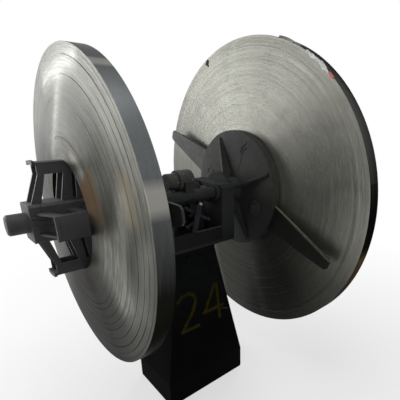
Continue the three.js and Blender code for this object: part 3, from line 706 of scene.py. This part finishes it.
# %% [markdown]
# ## The painted number
# On the front of the pedestal a number is brushed in dull yellow. Text would need a
# font and would look printed. A brush stroke is the set of points that lie within
# half a brush width of a line, so the same measure of distance as on the coils
# draws it, and the grime noise frays its edges.

# %% The painted number
STROKES = [
    # each stroke of the painted number, as corner points (x, z) in metres
    [(-0.154, 0.640), (-0.122, 0.664), (-0.083, 0.671), (-0.046, 0.652), (-0.036, 0.614),
     (-0.060, 0.556), (-0.147, 0.446)],
    [(-0.147, 0.446), (-0.033, 0.449)],
    [(0.106, 0.670), (0.019, 0.508)],
    [(0.012, 0.511), (0.160, 0.516)],
    [(0.121, 0.665), (0.128, 0.444)],
]
CHALK = [[(0.149, 0.493), (0.196, 0.474)]]
YELLOW, CHALK_GREY = (0.034, 0.027, 0.0045), (0.06, 0.062, 0.06)
# the heights and colour of the painted shade low on the pedestal
PEDESTAL_SHADE = {"top": 0.88, "bottom": 0.45, "colour": (0.0008, 0.0012, 0.0007)}


def painted_number(paint, x, y, z, grime):
    """The number and one short chalk line beside it, on the front plate only."""
    front = 1.0 - y.ramp(-0.095, -0.090)
    number = (1.0 - (nearness(x, z, STROKES) + grime * 0.006).ramp(0.0115, 0.0155)) * (1.3 - grime)
    chalk = (1.0 - nearness(x, z, CHALK).ramp(0.002, 0.005)) * 0.8
    colour = paint.mix(chalk, YELLOW, CHALK_GREY)
    shown = (number.math("MAXIMUM", chalk) * front).math("MINIMUM", 1.0)
    # painted shade: the front plate darkens towards the bottom
    bottom_shade, dark = painted_shade_below(**PEDESTAL_SHADE)(paint, x, y, z, grime)
    return shown.math("MAXIMUM", bottom_shade), paint.mix(shown, dark, colour)


print("strokes:", len(STROKES))

# %% Colours of the paints
COLOURS = {
    # the paint, the dust on it and the dull metal where it has chipped
    "pedestal": ((0.0056, 0.0068, 0.0061), (0.0110, 0.0128, 0.0115), (0.03, 0.03, 0.026)),
    "head": ((0.0125, 0.0142, 0.0135), (0.0290, 0.0315, 0.0300), (0.09, 0.088, 0.07)),
    "spindle": ((0.018, 0.0185, 0.0188), (0.044, 0.045, 0.046), (0.12, 0.115, 0.105)),
    "plate": ((0.0205, 0.0225, 0.0200), (0.0440, 0.0470, 0.0425), (0.11, 0.105, 0.085)),
    "steel": ((0.022, 0.0225, 0.0215), (0.050, 0.051, 0.048), (0.16, 0.16, 0.15)),
    # the upper arm's paint is lighter than the lower arm's
    "lighter_arm": ((0.024, 0.027, 0.022), (0.056, 0.061, 0.051), (0.14, 0.135, 0.11)),
    "rubbed_arm": ((0.0036, 0.0040, 0.0032), (0.0085, 0.0092, 0.0075), (0.09, 0.085, 0.055)),
    "sill": ((0.0035, 0.0045, 0.0038), (0.0085, 0.0100, 0.0090), (0.06, 0.058, 0.05)),
    "casting": ((0.017, 0.019, 0.0170), (0.052, 0.055, 0.049), (0.13, 0.13, 0.115)),
    "links": ((0.017, 0.0175, 0.0200), (0.042, 0.043, 0.048), (0.10, 0.10, 0.11)),
    "pin": ((0.35, 0.36, 0.38), (0.5, 0.5, 0.52), (0.6, 0.6, 0.6)),
    "strap": ((0.020, 0.014, 0.010), (0.045, 0.032, 0.024), (0.10, 0.07, 0.05)),
}
print("colours:", list(COLOURS))

# %% Finishes of the solids
FINISHES = {
    # by material slot
    # painted shade: the pedestal, the head and the back plates darken towards the bottom
    "pedestal_paint": worn_paint("pedestal_paint", *COLOURS["pedestal"], wear=0.74, gloss=0.62,
                                 shine=0.012, marks=painted_shade_below(**PEDESTAL_SHADE)),
    "head_paint": worn_paint("head_paint", *COLOURS["head"], wear=0.68, shine=0.15,
                             marks=painted_shade_below(1.12, 0.98, (0.0035, 0.0045, 0.0040))),
    "spindle_paint": worn_paint("spindle_paint", *COLOURS["spindle"], shine=0.35),
    "plate_paint": worn_paint("plate_paint", *COLOURS["plate"],
                              marks=painted_shade_below(1.26, 1.02, (0.0075, 0.0085, 0.0080))),
    "worn_steel": worn_paint("worn_steel", *COLOURS["steel"], wear=0.60, gloss=0.42, shine=0.25),
}
SPECIAL = {
    # by solid
    "pedestal_front_plate": worn_paint("numbered_front", *COLOURS["pedestal"], wear=0.74,
                                       gloss=0.62, shine=0.012, marks=painted_number),
    # the upper arm is given the lighter paint
    "right_guide_arm_1": worn_paint("lighter_arm", *COLOURS["lighter_arm"], shine=0.3),
    "right_guide_arm_2": worn_paint(
        "rubbed_arm", *COLOURS["rubbed_arm"], wear=0.66,
        marks=wear_and_highlight_along([(-0.280, 1.203), (-0.752, 0.940)], "y", (0.13, 0.122, 0.082))),
    # painted highlight along the sill's top edge
    "head_front_sill": worn_paint(
        "sill_paint", *COLOURS["sill"], wear=0.68, shine=0.08,
        marks=wear_and_highlight_along([(-0.02, 1.046), (0.16, 1.046)], "x", (0.05, 0.052, 0.045))),
    "brake_cylinder": worn_paint("rough_casting", *COLOURS["casting"], wear=0.60, shine=0.25,
                                 rough_cast=1.2),
}
oily_links = worn_paint("oily_links", *COLOURS["links"], wear=0.66, gloss=0.6, shine=0.06)
for name in ("left_brake_caliper", "right_brake_caliper", "left_brake_disc",
             "right_brake_disc", "brake_lever"):
    SPECIAL[name] = oily_links
print("finishes:", len(FINISHES), "by slot,", len(SPECIAL), "by solid")

# %% Paint every solid
EDGE_BEVEL = 0.0018
slots = {row["node"]: row["material_slot"] for row in frame["record"]["subparts"]}
for name, node in frame["nodes"].items():
    by_slot = FINISHES.get(slots[name], FINISHES["worn_steel"])
    node.data.materials.clear()
    node.data.materials.append(SPECIAL.get(name, by_slot))
    weld = node.modifiers.new("weld", "WELD")
    weld.merge_threshold = 1e-5
    bevel = node.modifiers.new("bevel", "BEVEL")
    bevel.width, bevel.segments = EDGE_BEVEL, 2
    bevel.limit_method, bevel.angle_limit = "ANGLE", math.radians(32)
print("painted", len(frame["nodes"]), "solids")

# %% [markdown]
# ## Small parts
# Weld beads, bolts, links and scraps of tape are too fine for the solids. Each is
# a row of rings joined into a skin, with a cap on both end rings. Parts of one
# body that share a finish become one piece.

# %% Skins, pins and bolts
def loft(rings):
    """The closed skin of a (k, m, 3) row of rings, m even, with its two end caps.

    Ring by ring, corner j joins to corner j + 1. A cap is a strip of quads that
    pairs corner j with corner m - 1 - j.
    """
    rings = np.asarray(rings, float)
    k, m = rings.shape[:2]
    half = np.arange(m // 2 - 1)
    cap = np.stack([half, half + 1, m - 2 - half, m - 1 - half], axis=-1)
    faces = np.concatenate([grid_faces(k, m, False, True), cap[:, ::-1], cap + (k - 1) * m])
    return rings.reshape(-1, 3), faces


def unit(vector):
    """The vector or row of vectors at length 1."""
    vector = np.asarray(vector, float)
    return vector / np.linalg.norm(vector, axis=-1, keepdims=True)


def square_to(direction):
    """Two unit vectors that are square to a direction and to each other."""
    direction = unit(direction)
    side = unit(np.cross(direction, np.eye(3)[np.abs(direction).argmin()]))
    return side, np.cross(direction, side)


def turned(at, direction, profile, corners=28):
    """Rings of the profile's (distance along, radius) about the line through at."""
    side, rise = square_to(direction)
    along, radius = np.array(profile, float).T[:, :, None, None]
    angle = np.linspace(0.0, 2.0 * math.pi, corners, endpoint=False)[:, None]
    spokes = np.cos(angle) * side + np.sin(angle) * rise
    return loft(np.array(at) + along * unit(direction) + radius * spokes)


def bolt(at, direction, size):
    """A washer and a six-cornered head, sunk a little into the face they stand on."""
    washer = [(-0.001, 1.25 * size), (0.0018, 1.25 * size), (0.0024, 1.2 * size)]
    head = [(0.001, size), (0.62 * size, size), (0.72 * size, 0.86 * size)]
    return [turned(at, direction, washer), turned(at, direction, head, corners=6)]


print("skins, pins and bolts ready")

# %% Beads, bars and ribbons
def bead(corners, radius, lift, ripple=0.0, flat=1.0):
    """A round bar along a broken line, rippled like a weld and tapered at its ends.

    At a distance s along it the radius is the given one times
    1 + ripple * sin(4.5 s / radius), and falls as a square root at both ends. Its
    height along lift is flat times its width.
    """
    corners = np.array(corners, float)
    reach = np.concatenate([[0.0], np.cumsum(np.linalg.norm(np.diff(corners, axis=0), axis=1))])
    s = np.linspace(0.0, reach[-1], max(8, int(reach[-1] / (0.45 * radius))))
    line = np.stack([np.interp(s, reach, corners[:, i]) for i in range(3)], axis=-1)
    tangent = unit(np.gradient(line, axis=0))
    side = unit(np.cross(tangent, np.array(lift)))
    rise = np.cross(side, tangent)
    size = radius * (1.0 + ripple * np.sin(4.5 * s / radius))
    size = size * np.sqrt(np.clip(np.minimum(s, reach[-1] - s) / radius, 0.06, 1.0))
    angle = np.linspace(0.0, 2.0 * math.pi, 10, endpoint=False)[:, None]
    rings = np.cos(angle) * side[:, None] + flat * np.sin(angle) * rise[:, None]
    return loft(line[:, None] + size[:, None, None] * rings)


def bar(start, end, wide, thick, bevel=0.001):
    """A flat bar from start to end with every edge bevelled; its width lies along wide."""
    start, end, wide = (np.array(v, float) for v in (start, end, wide))
    along = unit(end - start)
    a, b = np.linalg.norm(wide) / 2, thick / 2
    over = unit(wide)
    up = np.cross(along, over)
    rings = []
    for at, inset in ((start, bevel), (start + bevel * along, 0),
                      (end - bevel * along, 0), (end, bevel)):
        p, q, c = a - inset, b - inset, bevel
        corner = np.array([(p, c - q), (p, q - c), (p - c, q), (c - p, q),
                           (-p, q - c), (-p, c - q), (c - p, -q), (p - c, -q)])
        rings.append(at + corner[:, :1] * over + corner[:, 1:] * up)
    return loft(rings)


def ribbon(line, over, width, thick=0.0008):
    """A thin strip along a row of points, its width along over, which may turn on the way."""
    line, over = np.array(line, float), unit(over)
    up = unit(np.cross(np.gradient(line, axis=0), over))
    width = np.broadcast_to(width, len(line))[:, None] / 2
    edge = [over * width + up * thick / 2, -over * width + up * thick / 2]
    return loft(np.stack([line + edge[0], line + edge[1], line - edge[0], line - edge[1]], axis=1))


print("beads, bars and ribbons ready")

# %% Pieces made of several parts
def merged(name, parts, body, finish):
    """One piece made of several closed skins, given to a body and a material slot."""
    starts = np.cumsum([0] + [len(points) for points, _ in parts[:-1]])
    points = np.concatenate([points for points, _ in parts])
    faces = np.concatenate([outward(p, f) + start for (p, f), start in zip(parts, starts)])
    made = mesh_object(name, points, faces)
    made.data.materials.append(finish)
    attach(made, body)
    print(name, len(parts), "parts,", len(faces) * 2, "triangles")


print("ready to merge parts into pieces")

# %% [markdown]
# ## Welds on the back plates
# Each gusset is welded to its back plate along both sides of its foot, and the near
# plate also carries weld spatter, one long dribble and a round pin. The places of
# the gusset welds are measured on the solids, so that they meet the steel. A weld
# is a bead with ripples.

# %% On the back plates
PLATE_FACE = 0.378  # metres from the middle of the machine
TO_RIGHT, TO_LEFT = (1.0, 0.0, 0.0), (-1.0, 0.0, 0.0)
SPATTER = [
    # start and end of each bead, as (y, z), and its radius
    ((-0.118, 1.497), (-0.092, 1.492), 0.0075), ((-0.100, 1.478), (-0.066, 1.482), 0.0085),
    ((-0.090, 1.462), (-0.054, 1.463), 0.0080), ((-0.122, 1.478), (-0.112, 1.460), 0.006),
    ((-0.078, 1.446), (-0.060, 1.450), 0.0065), ((-0.128, 1.512), (-0.121, 1.501), 0.005),
    ((0.285, 1.312), (0.256, 1.304), 0.0085), ((0.262, 1.325), (0.236, 1.316), 0.007),
    ((0.245, 1.299), (0.205, 1.308), 0.008), ((0.275, 1.294), (0.262, 1.286), 0.006),
]
DRIBBLE = [(-0.110, 1.480), (-0.086, 1.440), (-0.074, 1.400), (-0.054, 1.352), (-0.047, 1.305)]
PIN_AT = (-0.201, 1.124)
PIN_PROFILE = [(-0.001, 0.048), (0.006, 0.048), (0.008, 0.045)]  # distance along, radius


def gusset_welds(side, number):
    """Two weld beads along the foot of a gusset, where it stands on its back plate."""
    node = frame["nodes"][f"{side}_gusset_{number}"]
    points = np.array([corner.co for corner in node.data.vertices])
    foot = np.unique(points[np.abs(np.abs(points[:, 0]) - PLATE_FACE) < 1e-3].round(4), axis=0)
    order = np.argsort(np.hypot(foot[:, 1], foot[:, 2] - SHAFT_HEIGHT))
    inner, outer = foot[order[:2]], foot[order[-2:]]
    if np.linalg.norm(outer - inner[0], axis=1).argmin() == 1:
        outer = outer[::-1]
    away = 0.06 * (outer - inner)
    return [bead([inner[i] + away[i], outer[i] + 0.1 * away[i]], 0.0045, TO_RIGHT, ripple=0.12)
            for i in (0, 1)]


def on_plate(places, out=0.0005):
    """Places (y, z) on the near face of the right back plate."""
    return [(PLATE_FACE - out, y, z) for y, z in places]


for side in ("left", "right"):
    beads = [skin for number in (1, 2, 3, 4) for skin in gusset_welds(side, number)]
    if side == "right":
        beads += [bead(on_plate([start, end]), radius, TO_RIGHT, ripple=0.1, flat=0.45)
                  for start, end, radius in SPATTER]
        beads.append(bead(on_plate(DRIBBLE), 0.0030, TO_RIGHT, ripple=0.35, flat=0.5))
    merged(f"{side}_plate_welds", beads, f"{side}_spindle", FINISHES["plate_paint"])

pin = [turned((PLATE_FACE, *PIN_AT), TO_LEFT, PIN_PROFILE, corners=40)]
pin += bolt((PLATE_FACE - 0.008, *PIN_AT), TO_LEFT, 0.021)
merged("right_plate_pin", pin, "right_spindle", FINISHES["plate_paint"])

# %% [markdown]
# ## Links of the brake
# Behind the window of the head, links carry the pull of the cylinder to the brake.
# They are flat bars with round pins, all oily, and only one small pin is bright: a bare pin whose
# pale colour is also a painted glint.

# %% In the window of the head
WINDOW = -0.112  # y of the links
TO_FRONT = (0.0, -1.0, 0.0)
LINKS = [
    # start and end, as (x, z), how far behind the window, width along x and z, thickness
    ((-0.062, 1.182), (0.098, 1.084), 0.0, (0.010, 0.016), 0.006),
    ((-0.026, 1.122), (0.050, 1.168), 0.008, (-0.009, 0.015), 0.006),
    ((0.041, 1.212), (0.041, 1.166), 0.004, (0.016, 0.0), 0.008),
    ((-0.055, 1.064), (0.030, 1.100), 0.0, (-0.006, 0.014), 0.006),
]
PINS = [
    # x, z and radius
    (0.016, 1.137, 0.013), (-0.056, 1.179, 0.009), (0.092, 1.088, 0.010), (-0.050, 1.066, 0.008),
]
BRIGHT_PIN = [(0.0, 0.009), (0.012, 0.009), (0.016, 0.006), (0.018, 0.002)]

links = [bar((x0, WINDOW + behind, z0), (x1, WINDOW + behind, z1), (wide_x, 0.0, wide_z), thick)
         for (x0, z0), (x1, z1), behind, (wide_x, wide_z), thick in LINKS]
links += [turned((x, WINDOW + 0.012, z), TO_FRONT, [(0.0, r), (0.022, r), (0.024, 0.8 * r)])
          for x, z, r in PINS]
merged("brake_linkage", links, "head", oily_links)
# painted glint: the pale colour of this bare pin
merged("bright_pin", [turned((0.041, WINDOW + 0.002, 1.186), TO_FRONT, BRIGHT_PIN)],
       "head",
       worn_paint("bright_pin", *COLOURS["pin"], wear=0.6, gloss=0.25, shine=0.5))

# %% [markdown]
# ## Bolts and ribs
# Two bolts hold the top of the pedestal's leaning front plate, and their heads lean
# with it. Three low ribs cross the front face of the left mandrel's collar.

# %% On the pedestal and the left collar
BOLTS_AT = ((-0.059, 0.882), (0.021, 0.872))  # x and z
LEANING = (0.0, -1.0, -0.11)
feet = [piece for x, z in BOLTS_AT for piece in bolt((x, -0.1085, z), LEANING, 0.012)]
merged("pedestal_bolts", feet, "pedestal", FINISHES["pedestal_paint"])
ribs = [bar((-0.768, -0.0855, z), (-0.700, -0.0855, z - 0.002), (0.0, 0.0, 0.007), 0.007, 0.0012)
        for z in (1.251, 1.231, 1.209)]
merged("left_collar_ribs", ribs, "left_spindle", FINISHES["spindle_paint"])

# %% [markdown]
# ## Scraps on the right coil
# The end of a strap, the rusty stub of another, shreds of torn tape and a red tag
# still stick to the edge of the right coil. They lie flat on it, so each is a
# ribbon along an arc of the rim, lifted a little in waves. A cloth simulation
# would gain nothing on strips this short.

# %% Scraps
SCRAP_STEPS = np.linspace(0.0, 1.0, 24)
SHREDS = [
    # start angle and sweep in degrees, width, lift and number of half waves
    (120.5, 4.5, 0.022, 0.004, 3.0), (125.5, 5.5, 0.032, 0.002, 5.0),
    (128.0, 4.0, 0.016, 0.005, 4.0), (122.5, 3.5, 0.012, 0.007, 6.0),
]
STUB = [
    (0.4795, 0.364, 1.999), (0.4785, 0.371, 1.985), (0.4770, 0.376, 1.975), (0.4745, 0.379, 1.968),
]


def on_rim(degrees, beyond, x):
    """Places on the rim of the right coil, a little beyond its radius."""
    turn = np.radians(degrees)
    sizes = COILS["right"]
    reach = sizes["radius"] + np.asarray(beyond)
    y, z = reach * np.cos(turn), SHAFT_HEIGHT - sizes["sag"] + reach * np.sin(turn)
    return np.stack(np.broadcast_arrays(x, y, z), axis=-1)


def mottled(name, first, second, patches, rough_patches, least_rough):
    """Two shades in soft patches (scale, and the ramp between them), unevenly rough."""
    paint = Paint(name)
    _, x, y, z = paint.place()
    scale, low, high = patches
    base = paint.mix(paint.noise(paint.vector(x, y, z), scale).ramp(low, high), first, second)
    rough = paint.noise(paint.vector(x, y, z), rough_patches) * 0.3 + least_rough
    return paint.finish(base, rough)


def shred(start, sweep, width, lift, waves):
    """A shred of tape along the rim, lifted in waves and narrower at its start."""
    steps = SCRAP_STEPS
    flutter = lift * (0.5 + 0.5 * np.sin(waves * math.pi * steps))
    line = on_rim(start + sweep * steps, flutter - 0.004, 0.4775 - 0.3 * flutter)
    swell = np.sin(math.pi * np.clip(steps * 0.9 + 0.1, 0, 1)) ** 0.5
    over = np.stack([0.35 + 0.2 * np.sin(7 * steps), 0.45 + 0 * steps, 0.0 * steps - 0.8], -1)
    return ribbon(line, over, width * (0.35 + 0.65 * swell))


torn_tape = mottled("torn_tape", (0.62, 0.62, 0.61), (0.90, 0.90, 0.89),
                    (60.0, 0.35, 0.65), 25.0, 0.3)
red_tag = mottled("red_tag", (0.62, 0.05, 0.06), (0.80, 0.18, 0.19),
                  (80.0, 0.3, 0.7), 30.0, 0.35)
strap_rust = worn_paint("rusty_strap", *COLOURS["strap"], wear=0.62, gloss=0.6, shine=0.1)

outer_layer = on_rim(108.0 + 9.0 * SCRAP_STEPS, 0.002, 0.502)
inner_layer = on_rim(107.0 + 7.0 * SCRAP_STEPS, 0.006 - 0.010 * (SCRAP_STEPS - 0.5) ** 2, 0.481)
merged("strap_end", [ribbon(outer_layer, (1.0, 0.0, 0.0), 0.036, 0.0015),
                     ribbon(inner_layer, (0.5, 0.0, 0.8), 0.014, 0.0015)],
       "right_spindle", coils["right"].data.materials[1])
merged("strap_stub", [ribbon(STUB, (0.0, 0.9, 0.42), 0.040, 0.0015)],
       "right_spindle", strap_rust)
merged("torn_tape", [shred(*values) for values in SHREDS], "right_spindle", torn_tape)
tag_line = on_rim(132.4 + 2.2 * SCRAP_STEPS, -0.001, 0.4775)
merged("red_tag", [ribbon(tag_line, (0.25, 0.5, -0.8), 0.016)], "right_spindle", red_tag)

# %% [markdown]
# ## Studio
# A pale floor that keeps the machine's shadow, a white surround and soft lamps.
# What the camera and the mirrors of the steel see is full white, while the light
# that falls on the machine is dimmer, so the lamps can shape it. Two lamps stand
# far back on the left, where the flat sides mirror them towards the camera.

# %% Floor
FLOOR_RADIUS = 9.0
FLOOR_WHITE = 0.55  # how much of the white surround a look at the floor meets
FLOOR_FADE = (0.9, 3.4)  # metres from the middle over which the floor clears away
WHITE = (1.0, 1.0, 1.0, 1.0)


def disc(name, radius, height, rings=24, steps=96):
    """A flat disc: rings of growing radius about a centre that is one tight ring."""
    r = np.linspace(1e-4, radius, rings)[:, None]
    angle = np.linspace(0.0, 2.0 * math.pi, steps, endpoint=False)[None, :]
    level = np.full((rings, steps), height)
    points = np.stack([r * np.cos(angle), r * np.sin(angle), level], axis=-1)
    return mesh_object(name, points.reshape(-1, 3), grid_faces(rings, steps, False, True)[:, ::-1])


def looked_at(paint):
    """1 for looks from the camera, off a mirror or through a clear face, 0 for falling light."""
    path = paint.node("ShaderNodeLightPath").outputs
    direct, mirrored, through = (
        Value(paint, path[f"Is {kind} Ray"]) for kind in ("Camera", "Glossy", "Transmission"))
    return direct.math("MAXIMUM", mirrored).math("MAXIMUM", through)


def floor_finish():
    """Pale and matt near the middle, clear further out, and partly white to look at."""
    paint = Paint("pale_floor")
    _, x, y, z = paint.place()
    ground = paint.value("ShaderNodeBsdfDiffuse", inputs={"Color": (0.92, 0.92, 0.92, 1.0)})
    clear = paint.value("ShaderNodeBsdfTransparent")
    share = ((x * x + y * y) ** 0.5).ramp(*FLOOR_FADE)
    lit = paint.value("ShaderNodeMixShader", inputs={0: share, 1: ground, 2: clear})
    white = paint.value("ShaderNodeEmission", inputs={"Color": WHITE, "Strength": 1.0})
    share = looked_at(paint) * FLOOR_WHITE
    shown = paint.value("ShaderNodeMixShader", inputs={0: share, 1: lit, 2: white})
    paint.node("ShaderNodeOutputMaterial", inputs={"Surface": shown})
    return paint.owner


floor = disc("floor", FLOOR_RADIUS, -0.0005)
floor.data.materials.append(floor_finish())
print("floor:", FLOOR_RADIUS, "m")

# %% Surround
FALLING_LIGHT = 0.25  # strength of the surround where nothing looks at it

surround = Paint("surround", bpy.data.worlds)
dim, full = (surround.value("ShaderNodeBackground", inputs={"Color": WHITE, "Strength": strength})
             for strength in (FALLING_LIGHT, 1.0))
both = surround.value("ShaderNodeMixShader", inputs={0: looked_at(surround), 1: dim, 2: full})
surround.node("ShaderNodeOutputWorld", inputs={"Surface": both})
bpy.context.scene.world = surround.owner
print("surround:", FALLING_LIGHT, "of the light it shows")

# %% Lamps
LAMPS = {
    # name: place, aim, size, watts
    "key_lamp": ((-2.5, 4.0, 2.45), (0.0, 0.0, 1.5), 2.5, 105.0),
    "side_lamp": ((-3.9, 2.2, 1.45), (0.0, 0.0, 1.35), 1.7, 36.0),
    "top_lamp": ((-0.6, -0.6, 4.6), (0.0, 0.0, 1.0), 2.4, 50.0),
    "front_lamp": ((-2.4, -4.2, 2.6), (0.0, 0.0, 1.1), 2.4, 40.0),
    "back_lamp": ((4.4, 2.6, 2.6), (0.0, 0.0, 1.2), 2.6, 90.0),
}
for name, (place, aim, size, watts) in LAMPS.items():
    lamp_data = bpy.data.lights.new(name, "AREA")
    lamp_data.shape = "SQUARE"
    lamp_data.size, lamp_data.energy = size, watts
    lamp = bpy.data.objects.new(name, lamp_data)
    lamp.location = place
    towards = np.array(aim) - np.array(place)
    across = math.hypot(towards[0], towards[1])
    lamp.rotation_euler = Euler(
        (math.atan2(across, -towards[2]), 0.0, math.atan2(-towards[0], towards[1])))
    bpy.context.collection.objects.link(lamp)
bpy.context.scene.view_settings.view_transform = "Standard"
print("lamps:", list(LAMPS))
